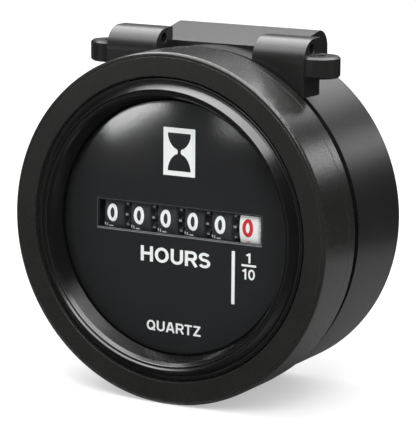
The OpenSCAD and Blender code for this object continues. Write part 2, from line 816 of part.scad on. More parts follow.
// Blade with a hole and a narrowed tip, through the back wall
module terminal(side) {
    tip_y = back_y + blade_out;
    translate([side * blade_pitch / 2, 0, terminal_z - blade_t / 2]) linear_extrude(blade_t)
        difference() {
            polygon([
                [-blade_w / 2, board_rear_y], [blade_w / 2, board_rear_y],
                [blade_w / 2, tip_y - 1.2], [blade_w / 2 - 0.9, tip_y],
                [0.9 - blade_w / 2, tip_y], [-blade_w / 2, tip_y - 1.2]
            ]);
            translate([0, tip_y - 3]) circle(r = blade_hole_d / 2, $fn = 48);
        }
}

// Left blade seen from the front
module terminal_left() {
    color("#c8b06a") terminal(-1);
}

// Right blade seen from the front
module terminal_right() {
    color("#c8b06a") terminal(1);
}

placed() front_ring();
placed() lens_ring();
placed() lens();
placed() lens_gasket();
placed() dial_plate();
placed() window_frame();
placed() wheel_1();
placed() wheel_2();
placed() wheel_3();
placed() wheel_4();
placed() wheel_5();
placed() wheel_6();
placed() counter_shaft();
placed() pinion_1();
placed() pinion_2();
placed() pinion_3();
placed() pinion_4();
placed() pinion_5();
placed() pinion_shaft();
placed() counter_frame();
placed() intermediate_gear();
placed() gear_arbor();
placed() motor_rotor();
placed() rotor_arbor();
placed() stator();
placed() coil_bobbin();
placed() coil_winding();
placed() circuit_board();
placed() timer_chip();
placed() crystal_can();
placed() capacitor();
placed() board_screws();
placed() frame_screws();
placed() rear_housing();
placed() housing_seal();
placed() terminal_left();
placed() terminal_right();
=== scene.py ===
# %% [markdown]
# # A round hour meter with a hinge bracket
# The solids of the meter are packed already, in one file that Blender imports.
# This lesson dresses them: surfaces, figures, print, a clear lens, light and a camera.
# The solids stay where they are, so that every joint still turns about its own shaft.

# %% Load the solids
import math

import bmesh
import bpy
from mathutils import Matrix, Vector


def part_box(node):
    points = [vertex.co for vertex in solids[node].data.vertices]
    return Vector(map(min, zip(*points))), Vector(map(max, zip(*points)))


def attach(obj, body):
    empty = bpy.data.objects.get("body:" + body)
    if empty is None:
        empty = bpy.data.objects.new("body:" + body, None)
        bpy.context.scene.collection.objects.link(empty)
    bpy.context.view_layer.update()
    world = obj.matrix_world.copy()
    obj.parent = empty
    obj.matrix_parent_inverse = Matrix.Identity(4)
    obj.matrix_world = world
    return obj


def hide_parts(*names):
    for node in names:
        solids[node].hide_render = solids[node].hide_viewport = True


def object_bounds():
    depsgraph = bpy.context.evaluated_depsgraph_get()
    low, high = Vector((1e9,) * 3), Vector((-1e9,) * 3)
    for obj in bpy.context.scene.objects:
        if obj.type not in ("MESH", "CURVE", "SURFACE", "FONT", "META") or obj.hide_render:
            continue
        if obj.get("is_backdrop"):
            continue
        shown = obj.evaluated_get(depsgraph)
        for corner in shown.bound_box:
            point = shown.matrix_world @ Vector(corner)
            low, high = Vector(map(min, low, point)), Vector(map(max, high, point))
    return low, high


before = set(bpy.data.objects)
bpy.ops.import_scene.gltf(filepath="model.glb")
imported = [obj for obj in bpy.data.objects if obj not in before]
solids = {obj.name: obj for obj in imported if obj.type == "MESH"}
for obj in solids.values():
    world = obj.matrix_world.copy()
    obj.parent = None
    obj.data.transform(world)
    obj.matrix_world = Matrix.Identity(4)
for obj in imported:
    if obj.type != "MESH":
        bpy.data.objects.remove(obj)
cad_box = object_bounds()
bpy.context.scene.view_settings.view_transform = "Standard"
print("solids:", len(solids))

# %% [markdown]
# The part's own origin lies under the bracket, but a dial is easier to draw about its axis.
# So one small function turns millimetres, counted from the middle of the ring's flat face,
# into places in the scene: x to the right, y into the depth, z up.

# %% Millimetres about the dial axis
MM = 0.001
ring_low, ring_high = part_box("front_ring")
FACE_Y = ring_low.y
AXIS_Z = (ring_low.z + ring_high.z) / 2


def at(x, y, z):
    return Vector((x * MM, FACE_Y + y * MM, AXIS_Z + z * MM))


DIAL_Y = (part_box("dial_plate")[0].y - FACE_Y) / MM
print(f"the dial lies {DIAL_Y:.2f} mm behind the ring face")

# %% [markdown]
# Colours are written as the sRGB hex values that a paint program shows. Shaders count in
# linear light, so one function converts them. A second small function adds a shader node,
# sets its values and links its inputs, which keeps every material readable.

# %% Helpers for materials


def linear(hex_colour):
    parts = [int(hex_colour[i : i + 2], 16) / 255 for i in (1, 3, 5)]
    return [c / 12.92 if c <= 0.04045 else ((c + 0.055) / 1.055) ** 2.4 for c in parts] + [1.0]


def add_node(tree, kind, inputs=None, **settings):
    node = tree.nodes.new(kind)
    for name, value in settings.items():
        setattr(node, name, value)
    for name, value in (inputs or {}).items():
        if isinstance(value, bpy.types.NodeSocket):
            tree.links.new(value, node.inputs[name])
        else:
            node.inputs[name].default_value = value
    return node


def new_material(name):
    material = bpy.data.materials.new(name)
    material.use_nodes = True
    material.node_tree.nodes.clear()
    return material, material.node_tree


print("helpers ready")

# %% [markdown]
# Most of the meter is moulded plastic. A mould leaves a fine eroded grain, the flow of the
# melt leaves slow changes of gloss, and no moulded edge is perfectly sharp. The same recipe
# serves all plastics here: a grain and a slow cloud, both sized in millimetres, steer colour,
# roughness and relief, and a small rounding is shaded into the edges. Where that rounding
# bends the surface, an edge is found and painted paler. This is partly wear from handling
# and partly a painted highlight along the edge.

# %% Moulded plastics
IOR_PLASTIC, CLOUD_MM = 1.53, 7


def moulded(name, colour, pale, wear_and_highlight_colour, rough, grain_mm, relief_mm, edge_mm, gloss):
    material, tree = new_material(name)
    place = add_node(tree, "ShaderNodeTexCoord").outputs["Object"]
    grain = add_node(tree, "ShaderNodeTexNoise",
                     {"Vector": place, "Scale": 1 / (grain_mm * MM), "Detail": 3.0, "Roughness": 0.6})
    cloud = add_node(tree, "ShaderNodeTexNoise",
                     {"Vector": place, "Scale": 1 / (CLOUD_MM * MM), "Detail": 2.0})
    tint = add_node(tree, "ShaderNodeMixRGB",
                    {"Fac": cloud.outputs["Fac"], "Color1": linear(colour), "Color2": linear(pale)})
    sheen = add_node(tree, "ShaderNodeMapRange",
                     {"Value": grain.outputs["Fac"], "From Min": 0.3, "From Max": 0.7,
                      "To Min": rough - 0.04, "To Max": rough + 0.05})
    edge = add_node(tree, "ShaderNodeBevel", {"Radius": edge_mm * MM}, samples=6)
    flat = add_node(tree, "ShaderNodeNewGeometry").outputs["Normal"]
    bend = add_node(tree, "ShaderNodeVectorMath",
                    {0: edge.outputs["Normal"], 1: flat}, operation="DOT_PRODUCT")
    # Painted highlight with wear: where the shaded rounding bends the normal, the colour is mixed towards the
    # pale edge colour
    wear_and_highlight_mask = add_node(tree, "ShaderNodeMapRange",
                   {"Value": bend.outputs["Value"], "From Min": 0.97, "From Max": 0.75,
                    "To Min": 0.0, "To Max": 1.0})
    wear_and_highlight_mix = add_node(tree, "ShaderNodeMixRGB",
                    {"Fac": wear_and_highlight_mask.outputs["Result"], "Color1": tint.outputs["Color"], "Color2": linear(wear_and_highlight_colour)})
    relief = add_node(tree, "ShaderNodeBump",
                      {"Height": grain.outputs["Fac"], "Strength": 1.0, "Distance": relief_mm * MM,
                       "Normal": edge.outputs["Normal"]})
    skin = add_node(tree, "ShaderNodeBsdfPrincipled",
                    {"Base Color": wear_and_highlight_mix.outputs["Color"], "Roughness": sheen.outputs["Result"],
                     "IOR": IOR_PLASTIC, "Specular IOR Level": gloss, "Normal": relief.outputs["Normal"]})
    add_node(tree, "ShaderNodeOutputMaterial", {"Surface": skin.outputs["BSDF"]})
    return material


# ABS from a smooth mould: the ring is a satin black with pale lines painted along its edges, partly wear and
# partly painted highlight
case_plastic = moulded("Moulded_black_ABS", "#1c1c1b", "#222221", "#565654",
                       rough=0.26, grain_mm=0.16, relief_mm=0.0004, edge_mm=0.1, gloss=0.5)
# The same ABS from an eroded mould: the housing and its bracket have a duller, grained skin
housing_plastic = moulded("Eroded_black_ABS", "#161616", "#1e1e1d", "#3c3c3b",
                          rough=0.34, grain_mm=0.3, relief_mm=0.0022, edge_mm=0.12, gloss=0.42)
# The collar comes from a polished mould, so its slopes and crests shine more, and its edges are painted pale,
# partly wear and partly painted highlight
collar_plastic = moulded("Polished_black_ABS", "#0d0d0d", "#121212", "#5c5c5b",
                         rough=0.2, grain_mm=0.25, relief_mm=0.0002, edge_mm=0.08, gloss=0.7)
# The dial is a flat sheet with a dead matt print that mirrors nothing under the lens
dial_sheet = moulded("Matt_black_print", "#262627", "#29292a", "#2e2e2f",
                     rough=0.8, grain_mm=0.2, relief_mm=0.0002, edge_mm=0.03, gloss=0.02)
# Dark acetal: wheels with a slight shine and edges painted pale, partly wear from their neighbours and partly
# painted glints
wheel_dark = moulded("Moulded_dark_acetal", "#333436", "#3a3b3d", "#808183",
                     rough=0.38, grain_mm=0.22, relief_mm=0.0006, edge_mm=0.12, gloss=0.25)
# White acetal: the last wheel is a clean, slightly waxy white
wheel_white = moulded("Moulded_white_acetal", "#f3f3f1", "#f6f6f4", "#f8f8f7",
                      rough=0.42, grain_mm=0.22, relief_mm=0.001, edge_mm=0.08, gloss=0.5)
# Acetal with no dye: small gears and the bobbin have the cream of the bare plastic
gear_plastic = moulded("Natural_acetal", "#d6d2c4", "#e0dccf", "#e8e5da",
                       rough=0.45, grain_mm=0.22, relief_mm=0.001, edge_mm=0.05, gloss=0.5)
# Moulded rubber: nearly no gloss, so a seal reads as a dark line; the same near-black also paints the shade
# in the gap behind the ring and at the edge of the lens
rubber_and_painted_shade = moulded("Black_rubber_and_painted_shade", "#030303", "#050505", "#060606",
                      rough=0.85, grain_mm=0.25, relief_mm=0.002, edge_mm=0.04, gloss=0.03)
# The rim that lines the window is dark sheet too, its edges painted paler, partly wear at the cut and partly
# painted highlight
trim_plastic = moulded("Dark_sheet_edge", "#1d1e20", "#232527", "#4a4c4e",
                       rough=0.5, grain_mm=0.2, relief_mm=0.0004, edge_mm=0.06, gloss=0.15)
# Glass cloth in epoxy under green lacquer: a smooth coat with the faint unevenness of the cloth
board_epoxy = moulded("Green_lacquered_glass_epoxy", "#2b6a43", "#33754c", "#5a8a6a",
                      rough=0.35, grain_mm=0.6, relief_mm=0.002, edge_mm=0.05, gloss=0.5)
# Filled epoxy: the chip is a dull, fine grained black
chip_epoxy = moulded("Black_moulded_epoxy", "#17181a", "#1d1e20", "#2a2b2d",
                     rough=0.6, grain_mm=0.15, relief_mm=0.003, edge_mm=0.05, gloss=0.4)
# Shrunk film: a taut, shiny blue skin round the capacitor
sleeve_film = moulded("Blue_shrink_sleeve", "#2c3f58", "#334862", "#40566f",
                      rough=0.3, grain_mm=0.5, relief_mm=0.001, edge_mm=0.05, gloss=0.5)
print("plastics: 12")

# %% [markdown]
# Metal shows only by what it mirrors, so its colour goes into the base colour of a fully
# metallic surface. Drawn and rolled metal carries fine lines along one direction: a noise
# that is stretched along that direction changes the roughness from line to line.

# %% Metals
LINE_LENGTH_MM = 6


def worked_metal(name, colour, dull, rough, line_mm, along):
    material, tree = new_material(name)
    place = add_node(tree, "ShaderNodeTexCoord").outputs["Object"]
    stretch = [1 / (line_mm * MM)] * 3
    stretch["xyz".index(along)] = 1 / (LINE_LENGTH_MM * MM)
    lay = add_node(tree, "ShaderNodeMapping", {"Vector": place, "Scale": stretch})
    lines = add_node(tree, "ShaderNodeTexNoise",
                     {"Vector": lay.outputs["Vector"], "Scale": 1.0, "Detail": 2.0})
    tint = add_node(tree, "ShaderNodeMixRGB",
                    {"Fac": lines.outputs["Fac"], "Color1": linear(colour), "Color2": linear(dull)})
    sheen = add_node(tree, "ShaderNodeMapRange",
                     {"Value": lines.outputs["Fac"], "From Min": 0.3, "From Max": 0.7,
                      "To Min": rough - 0.05, "To Max": rough + 0.08})
    skin = add_node(tree, "ShaderNodeBsdfPrincipled",
                    {"Base Color": tint.outputs["Color"], "Roughness": sheen.outputs["Result"],
                     "Metallic": 1.0})
    add_node(tree, "ShaderNodeOutputMaterial", {"Surface": skin.outputs["BSDF"]})
    return material


# Ground steel: shafts and screws are bright, with fine lines along the shafts
shaft_steel = worked_metal("Ground_steel", "#b4b7bb", "#9fa2a6", rough=0.25, line_mm=0.15, along="x")
# Rolled aluminium: the counter frame is a soft silver sheet with the lines of the rolls
sheet_aluminium = worked_metal("Rolled_aluminium", "#bcbfc3", "#a8abaf", rough=0.35, line_mm=0.2, along="z")
# Silicon iron: the plates of the motor are a darker, duller grey
motor_iron = worked_metal("Silicon_iron", "#8a8d91", "#75787c", rough=0.4, line_mm=0.2, along="x")
# Enamelled copper: the turns of the coil lie side by side as fine warm lines
coil_copper = worked_metal("Enamelled_copper_wire", "#b8673a", "#98502b", rough=0.35, line_mm=0.12, along="z")
# Drawn nickel silver: the crystal's can is smooth and pale
can_metal = worked_metal("Drawn_nickel_silver", "#c6c8ca", "#b3b5b7", rough=0.2, line_mm=0.15, along="x")
# Tinned brass: the blades are a pale yellow with lines along their length
blade_brass = worked_metal("Tinned_brass", "#cbb274", "#b99e5e", rough=0.28, line_mm=0.15, along="y")
print("metals: 6")

# %% [markdown]
# Each solid gets its finish from one table. Most of the inner ones are closed in, but they
# still carry a finish, because the part may be opened or cut in another picture.

# %% Give every solid its finish
finish = {
    case_plastic: ["front_ring"],
    housing_plastic: ["rear_housing"],
    collar_plastic: ["lens_ring"],
    dial_sheet: ["dial_plate"],
    trim_plastic: ["window_frame"],
    rubber_and_painted_shade: ["lens_gasket", "housing_seal"],
    wheel_dark: [f"wheel_{k}" for k in range(1, 6)],
    wheel_white: ["wheel_6"],
    gear_plastic: [f"pinion_{k}" for k in range(1, 6)] + ["intermediate_gear", "coil_bobbin"],
    shaft_steel: ["counter_shaft", "pinion_shaft", "gear_arbor", "rotor_arbor",
                  "board_screws", "frame_screws"],
    sheet_aluminium: ["counter_frame"],
    motor_iron: ["motor_rotor", "stator"],
    coil_copper: ["coil_winding"],
    board_epoxy: ["circuit_board"],
    chip_epoxy: ["timer_chip"],
    can_metal: ["crystal_can"],
    sleeve_film: ["capacitor"],
    blade_brass: ["terminal_left", "terminal_right"],
}
for material, names in finish.items():
    for name in names:
        solids[name].data.materials.clear()
        solids[name].data.materials.append(material)
print("finished:", sum(len(names) for names in finish.values()), "solids")

# %% [markdown]
# The lens is a thin clear moulding with a gentle dome. Its solid is built from short cones,
# which is right for its size, but a mirror-like surface would show every one of them. A turned
# mesh with many fine steps stands for it. So thin a sheet hardly bends the view, so it is drawn
# as what it does: most light passes straight on to the dial, and a share that grows at a glancing
# angle is mirrored. Both faces of a real sheet mirror; here the outer one does it for both.

# %% The domed lens
IOR_ACRYLIC, BOTH_FACES = 1.49, 1.8


def link_mesh(name, shape, material):
    mesh = bpy.data.meshes.new(name)
    shape.to_mesh(mesh)
    shape.free()
    mesh.materials.append(material)
    piece = bpy.data.objects.new(name, mesh)
    bpy.context.scene.collection.objects.link(piece)
    return piece


def turned(name, outline, material, steps=192):
    shape = bmesh.new()
    rings = []
    for radius, depth in outline:
        count = 1 if radius < 1e-6 else steps
        rings.append([shape.verts.new(at(radius * math.cos(2 * math.pi * i / steps), depth,
                                         radius * math.sin(2 * math.pi * i / steps)))
                      for i in range(count)])
    for a, b in zip(rings, rings[1:]):
        for i in range(steps):
            j = (i + 1) % steps
            corners = [a[i % len(a)], a[j % len(a)], b[j % len(b)], b[i % len(b)]]
            shape.faces.new(list(dict.fromkeys(corners)))
    bmesh.ops.recalc_face_normals(shape, faces=shape.faces)
    piece = link_mesh(name, shape, material)
    piece.data.shade_smooth()
    piece.data.set_sharp_from_angle(angle=math.radians(35))
    return piece


# Moulded acrylic: clear, with a faint softness that blurs mirrored lamps a little
clear_acrylic, tree = new_material("Clear_moulded_acrylic")
mirrored = add_node(tree, "ShaderNodeFresnel", {"IOR": IOR_ACRYLIC})
inside = add_node(tree, "ShaderNodeNewGeometry").outputs["Backfacing"]
outer = add_node(tree, "ShaderNodeMapRange", {"Value": inside, "To Min": BOTH_FACES, "To Max": 0.0})
share = add_node(tree, "ShaderNodeMath", {0: mirrored.outputs["Fac"], 1: outer.outputs[0]},
                 operation="MULTIPLY", use_clamp=True)
shine = add_node(tree, "ShaderNodeBsdfGlossy", {"Color": linear("#ffffff"), "Roughness": 0.12})
clear = add_node(tree, "ShaderNodeBsdfTransparent", {"Color": linear("#fbfcfc")})
sheet = add_node(tree, "ShaderNodeMixShader",
                 {"Fac": share.outputs[0], 1: clear.outputs["BSDF"], 2: shine.outputs["BSDF"]})
add_node(tree, "ShaderNodeOutputMaterial", {"Surface": sheet.outputs["Shader"]})

lens_low, lens_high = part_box("lens")
LENS_R = (lens_high.x - lens_low.x) / 2 / MM
APEX_Y = (lens_low.y - FACE_Y) / MM
REAR_Y = (lens_high.y - FACE_Y) / MM
DOME, RIM, OPEN_R, INNER_SET = 1.2, 1.0, 21.1, 0.4
STEPS = 30
shares = [i / STEPS for i in range(STEPS + 1)]
dome = [(OPEN_R * s, APEX_Y + DOME * s**2) for s in shares]
inner = [((OPEN_R - INNER_SET) * s, REAR_Y - DOME + DOME * s**2) for s in reversed(shares)]
rim = [(LENS_R, REAR_Y - RIM), (LENS_R, REAR_Y)]
lens_piece = turned("clear_lens", dome + rim + inner, clear_acrylic)
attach(lens_piece, "case")
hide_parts("lens")
print(f"lens: {len(lens_piece.data.polygons)} faces, dome {DOME} mm")

# %% [markdown]
# Two thin near-black rings are painted shade where parts meet. One lies over the front edge of
# the housing and paints the dark shade line of the gap between the ring and the housing. A
# narrow one lies on the edge of the lens and paints its dark edge as shade, so the eye can tell
# the clear lens from the collar round it.

# %% Painted shade: the gap line behind the ring and the lens edge line
seal_low, seal_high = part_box("housing_seal")
SEAL_R = (seal_high.x - seal_low.x) / 2 / MM
SEAL_REAR = (seal_high.y - FACE_Y) / MM
# Painted shade: a near-black strip over the front edge of the housing stands for the shade in the gap behind
# the ring
GAP_SHADE_R, GAP_SHADE_FRONT, GAP_SHADE_REAR, GAP_SHADE_ROUND = SEAL_R + 0.46, SEAL_REAR - 0.3, SEAL_REAR + 1.05, 0.1
gap_shade_outline = [(SEAL_R, GAP_SHADE_FRONT), (GAP_SHADE_R - 0.04, GAP_SHADE_FRONT), (GAP_SHADE_R, SEAL_REAR),
               (GAP_SHADE_R, GAP_SHADE_REAR - GAP_SHADE_ROUND), (GAP_SHADE_R - GAP_SHADE_ROUND, GAP_SHADE_REAR)]
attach(turned("gap_shade_strip", gap_shade_outline, rubber_and_painted_shade), "case")

EDGE_Y = APEX_Y + DOME
# Painted shade: a narrow near-black ring on the edge of the lens paints the dark line there
EDGE_SHADE_OUT_R, EDGE_SHADE_CREST_R, EDGE_SHADE_IN_R = OPEN_R + 0.08, OPEN_R - 0.1, OPEN_R - 0.24
lens_edge_shade_outline = [(EDGE_SHADE_OUT_R, EDGE_Y - 0.1), (EDGE_SHADE_CREST_R, EDGE_Y - 0.12), (EDGE_SHADE_IN_R, EDGE_Y - 0.06)]
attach(turned("lens_edge_shade", lens_edge_shade_outline, rubber_and_painted_shade), "case")
print(f"seal lip {GAP_SHADE_R:.2f} mm and lens bead {EDGE_SHADE_CREST_R:.2f} mm from the axis")

# %% [markdown]
# The legends are plain upright capitals with strokes of one breadth, as a lettering pen draws
# them. So each letter is kept as the path of the pen, in a field one unit high, and a ribbon
# is laid along the path. Bows are parts of ellipses, and the breadth of the pen makes the
# difference between the heavy figures and the light legend at the bottom. Strokes that cross
# lie a hair above each other: two faces in one plane would shade each other black. The open leg
# of an R leaves a hole in a word, so the next letter moves closer to it.

# %% Letters as pen paths


def bow(x, z, rx, rz, start, end, steps=24):
    turns = [math.radians(start + (end - start) * i / steps) for i in range(steps + 1)]
    return [(x + rx * math.cos(a), z + rz * math.sin(a)) for a in turns]


def pen_paths(letter, pen):
    h = pen / 2
    paths = {
        "H": [[(h, 0), (h, 1)], [(0.74 - h, 0), (0.74 - h, 1)], [(h, 0.52), (0.74 - h, 0.52)]],
        "O": [bow(0.42, 0.5, 0.42 - h, 0.5 - h, 0, 360)],
        "U": [[(h, 1)] + bow(0.37, 0.36, 0.37 - h, 0.36 - h, 180, 360) + [(0.74 - h, 1)]],
        "R": [[(h, 0), (h, 1)],
              [(0, 1 - h)] + bow(0.44, 0.73 - h / 2, 0.28 - h, 0.27 - h / 2, 90, -90) + [(0, 0.46)],
              [(0.4, 0.46), (0.68, 0)]],
        "S": [bow(0.35, 0.76 - h * 0.52, 0.33 - h, 0.24 - h * 0.48, 25, 255)
              + bow(0.35, 0.26 + h * 0.48, 0.35 - h, 0.26 - h * 0.52, 75, -155)],
        "Q": [bow(0.4, 0.5, 0.4 - h, 0.5 - h, 0, 360), [(0.46, 0.28), (0.76, 0.02)]],
        "A": [[(0.08, 0), (0.36, 1)], [(0.72, 0), (0.44, 1)],
              [(0.18, 0.3), (0.62, 0.3)], [(0.3, 1 - h), (0.5, 1 - h)]],
        "T": [[(0, 1 - h), (0.68, 1 - h)], [(0.34, 0), (0.34, 1)]],
        "Z": [[(0.02, 1 - h), (0.66, 1 - h)], [(0.58, 1 - h), (0.1, h)], [(0, h), (0.68, h)]],
        "0": [bow(0.33, 0.5, 0.33 - h, 0.5 - h, 0, 360)],
        "1": [[(0.4, 0), (0.4, 1)], [(0.13, 0.74), (0.42, 0.95)]],
        "2": [bow(0.31, 0.71, 0.31 - h, 0.29 - h, 165, -32) + [(0.08, h)], [(0, h), (0.62, h)]],
        "3": [bow(0.3, 0.74, 0.28 - h, 0.26 - h, 155, -80), bow(0.3, 0.28, 0.32 - h, 0.28 - h, 80, -155)],
        "4": [[(0.46, 0), (0.46, 1)], [(0.44, 0.96), (0.07, 0.32)], [(0, 0.28), (0.64, 0.28)]],
        "5": [[(0.58, 1 - h), (0.15, 1 - h), (0.1, 0.5)] + bow(0.3, 0.33, 0.32 - h, 0.33 - h, 125, -155)],
        "6": [bow(0.32, 0.33, 0.32 - h, 0.33 - h, 0, 360), bow(0.38, 0.5, 0.38 - h, 0.5 - h, 190, 55)],
        "7": [[(0, 1 - h), (0.6, 1 - h)], [(0.53, 1 - h), (0.22, 0)]],
        "8": [bow(0.32, 0.745, 0.28 - h, 0.255 - h, 0, 360), bow(0.32, 0.27, 0.32 - h, 0.27 - h, 0, 360)],
    }
    if letter == "9":
        return [[(0.64 - x, 1 - z) for x, z in path] for path in pen_paths("6", pen)]
    return paths[letter]


SHARPEST_CORNER = 0.6


def ribbon(shape, path, pen, shift, lift):
    points = [Vector(p) for p in path]
    closed = (points[0] - points[-1]).length < 1e-6
    pairs = []
    for i, p in enumerate(points):
        before = points[i - 1] if i else points[-2] if closed else p * 2 - points[1]
        after = points[i + 1] if i + 1 < len(points) else points[1] if closed else p * 2 - points[i - 1]
        a, b = (p - before).normalized(), (after - p).normalized()
        side = Vector((-a.y - b.y, a.x + b.x)) / max(1 + a.dot(b), SHARPEST_CORNER) * pen / 2
        pairs.append([shape.verts.new((q.x + shift, q.y, lift)) for q in (p + side, p - side)])
    for (a, b), (c, d) in zip(pairs, pairs[1:]):
        shape.faces.new((a, b, d, c))


LAYER_MM = 0.004
LEG_KERN = 0.4


def lettering(words, pen, gap=0.0):
    shape = bmesh.new()
    shift = 0
    for letter in words:
        paths = pen_paths(letter, pen)
        for i, path in enumerate(paths):
            ribbon(shape, path, pen, shift, LAYER_MM * i)
        shift = max(v.co.x for v in shape.verts) + gap * (LEG_KERN if letter == "R" else 1.0)
    return shape


print("letters drawn with one pen")

# %% [markdown]
# Print is a film of ink a few hundredths of a millimetre thick. Each legend is fitted to the
# rectangle that it fills on the dial, so the type follows the dial. Ink is flat, with a faint
# unevenness where the screen laid it on thinner.

# %% Ink and legends
INK_MM, FILM_MM = 0.03, 0.4


def ink(name, colour, thin):
    material, tree = new_material(name)
    place = add_node(tree, "ShaderNodeTexCoord").outputs["Object"]
    film = add_node(tree, "ShaderNodeTexNoise",
                    {"Vector": place, "Scale": 1 / (FILM_MM * MM), "Detail": 2.0})
    tint = add_node(tree, "ShaderNodeMixRGB",
                    {"Fac": film.outputs["Fac"], "Color1": linear(colour), "Color2": linear(thin)})
    skin = add_node(tree, "ShaderNodeBsdfPrincipled",
                    {"Base Color": tint.outputs["Color"], "Roughness": 0.5, "IOR": 1.5})
    add_node(tree, "ShaderNodeOutputMaterial", {"Surface": skin.outputs["BSDF"]})
    return material


# Screen inks: an even white that stands out on the dial, and a clear red for the tenths
white_ink = ink("White_screen_ink", "#f8f8f7", "#f2f2f1")
red_ink = ink("Red_screen_ink", "#d81f2a", "#cc1a25")
# Painted highlights: pale hair lines along the edges of the window, brighter where they look up to the light;
# the brighter one also paints the glints on the tooth tips
bright_painted_highlight = ink("Painted_bright_highlight", "#b4b6b8", "#8f9193")
dim_painted_highlight = ink("Painted_dim_highlight", "#808284", "#6c6e70")


def extent(shape, axis):
    values = [v.co[axis] for v in shape.verts]
    return min(values), max(values)


def legend(name, words, pen, gap, left, right, low, high):
    shape = lettering(words, pen, gap)
    (u0, u1), (v0, v1) = extent(shape, 0), extent(shape, 1)
    for v in shape.verts:
        v.co = at(left + (v.co.x - u0) / (u1 - u0) * (right - left), DIAL_Y - INK_MM - v.co.z,
                  low + (v.co.y - v0) / (v1 - v0) * (high - low))
    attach(link_mesh(name, shape, white_ink), "case")


legend("legend_hours", "HOURS", pen=0.186, gap=0.11, left=-7.1, right=6.05, low=-6.52, high=-3.85)
legend("legend_quartz", "QUARTZ", pen=0.176, gap=0.11, left=-5.9, right=4.35, low=-18.05, high=-16.2)
legend("legend_one", "1", pen=0.18, gap=0.11, left=12.6, right=13.45, low=-4.65, high=-3.0)
legend("legend_ten", "10", pen=0.17, gap=0.18, left=11.95, right=14.3, low=-7.4, high=-5.6)
print("legends on the dial: 4")

# %% [markdown]
# The rule beside the tenths, the fraction bar, the painted highlight lines along the edges of
# the window and the hourglass sign are plain shapes. Each is an outline of points in the dial
# plane; an outline inside another becomes a hole, which is how the dark hourglass shows in its
# white field.

# %% Rule, fraction bar, painted highlights on the window edges and hourglass


def outline_print(name, outlines, material):
    curve = bpy.data.curves.new(name, "CURVE")
    curve.dimensions = "2D"
    curve.fill_mode = "BOTH"
    for points in outlines:
        line = curve.splines.new("POLY")
        line.points.add(len(points) - 1)
        for p, (x, z) in zip(line.points, points):
            p.co = (x, z, 0, 1)
        line.use_cyclic_u = True
    holder = bpy.data.objects.new(name, curve)
    bpy.context.scene.collection.objects.link(holder)
    bpy.context.view_layer.update()
    flat = bpy.data.meshes.new_from_object(holder.evaluated_get(bpy.context.evaluated_depsgraph_get()))
    bpy.data.objects.remove(holder)
    shape = bmesh.new()
    shape.from_mesh(flat)
    for v in shape.verts:
        v.co = at(v.co.x, DIAL_Y - INK_MM, v.co.y)
    bpy.data.meshes.remove(flat)
    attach(link_mesh(name, shape, material), "case")


def rectangle(left, right, low, high):
    return [(left, low), (right, low), (right, high), (left, high)]


outline_print("tenths_rule", [rectangle(10.0, 10.6, -11.75, -2.95)], white_ink)
outline_print("fraction_bar", [rectangle(11.8, 14.5, -5.25, -4.9)], white_ink)

trim_low, trim_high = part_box("window_frame")
EDGE = trim_high.x / MM
SILL, LINTEL = (trim_low.z - AXIS_Z) / MM, (trim_high.z - AXIS_Z) / MM
# Painted highlights: pale lines along the sill, the lintel and the sides of the window, the sill ones
# brighter where they look up to the light
for name, edge in {"sill_edge": rectangle(-EDGE, EDGE, SILL - 0.02, SILL + 0.07),
                   "sill_lip": rectangle(-EDGE, EDGE, SILL + 0.2, SILL + 0.26),
                   "lintel_edge": rectangle(-EDGE, EDGE, LINTEL - 0.04, LINTEL),
                   "left_edge": rectangle(-EDGE, -EDGE + 0.05, SILL, LINTEL),
                   "right_edge": rectangle(EDGE - 0.05, EDGE, SILL, LINTEL)}.items():
    outline_print(name, [edge], bright_painted_highlight if "sill" in name else dim_painted_highlight)

bowl = [(2.15, 3.1), (2.1, 2.45), (1.85, 1.7), (1.45, 1.1), (0.9, 0.6), (0.4, 0.4), (0.3, 0.2),
        (0.3, -0.2), (0.4, -0.35), (0.95, -0.6), (1.5, -1.15), (1.9, -1.9), (2.1, -2.6), (2.15, -3.15)]
glass = bowl + [(-x, z) for x, z in reversed(bowl)]
SIGN_X, SIGN_Z, SIGN_HALF_W, SIGN_HALF_H = 0.1, 12.3, 2.97, 3.95
field = rectangle(SIGN_X - SIGN_HALF_W, SIGN_X + SIGN_HALF_W, SIGN_Z - SIGN_HALF_H, SIGN_Z + SIGN_HALF_H)
outline_print("hourglass_sign", [field, [(SIGN_X + x, SIGN_Z + z) for x, z in glass]], white_ink)
print("window edges: 5, signs: 3")

# %% [markdown]
# The figures run round the drums, ten to a turn. A flat figure laid on a drum would sink into
# it in the middle, so each one is first sliced into narrow bands and then wrapped: height on
# the figure becomes an angle on the drum. All ten are made, because the wheels really turn.
# When the count grows, the front of the drum moves up, so the next figure waits below. Small
# marks lie below the zero of each drum: two white ticks, which are painted glints of gear teeth,
# and a dash, or a red dash on the last. The dash lets a fitter set all the drums to zero, and the
# marks show just above the sill of the window.

# %% Figures on the drums
FIGURE_H, FIGURE_W, FIELD_W = 3.0, 1.98, 0.66
PITCH_DEG, LIFT_DEG = 36, 1.0
GEAR_W, DRUM_W, SIDE_MM = 0.7, 3.7, -0.2
BAND_MM, BANDS = 0.24, range(-9, 7)
# Left, right, low and high of each mark, in millimetres from the middle of the zero
# Painted glints: the first two white marks are ticks that stand for glints on gear teeth; the third is a dash
WHITE_GLINT_TICKS_AND_DASH = [(-1.6, -1.46, -2.3, -1.76), (-1.2, -1.05, -2.42, -1.84), (-0.8, -0.05, -2.44, -2.2)]
RED_MARKS = [(-0.3, 0.3, -2.42, -2.26)]


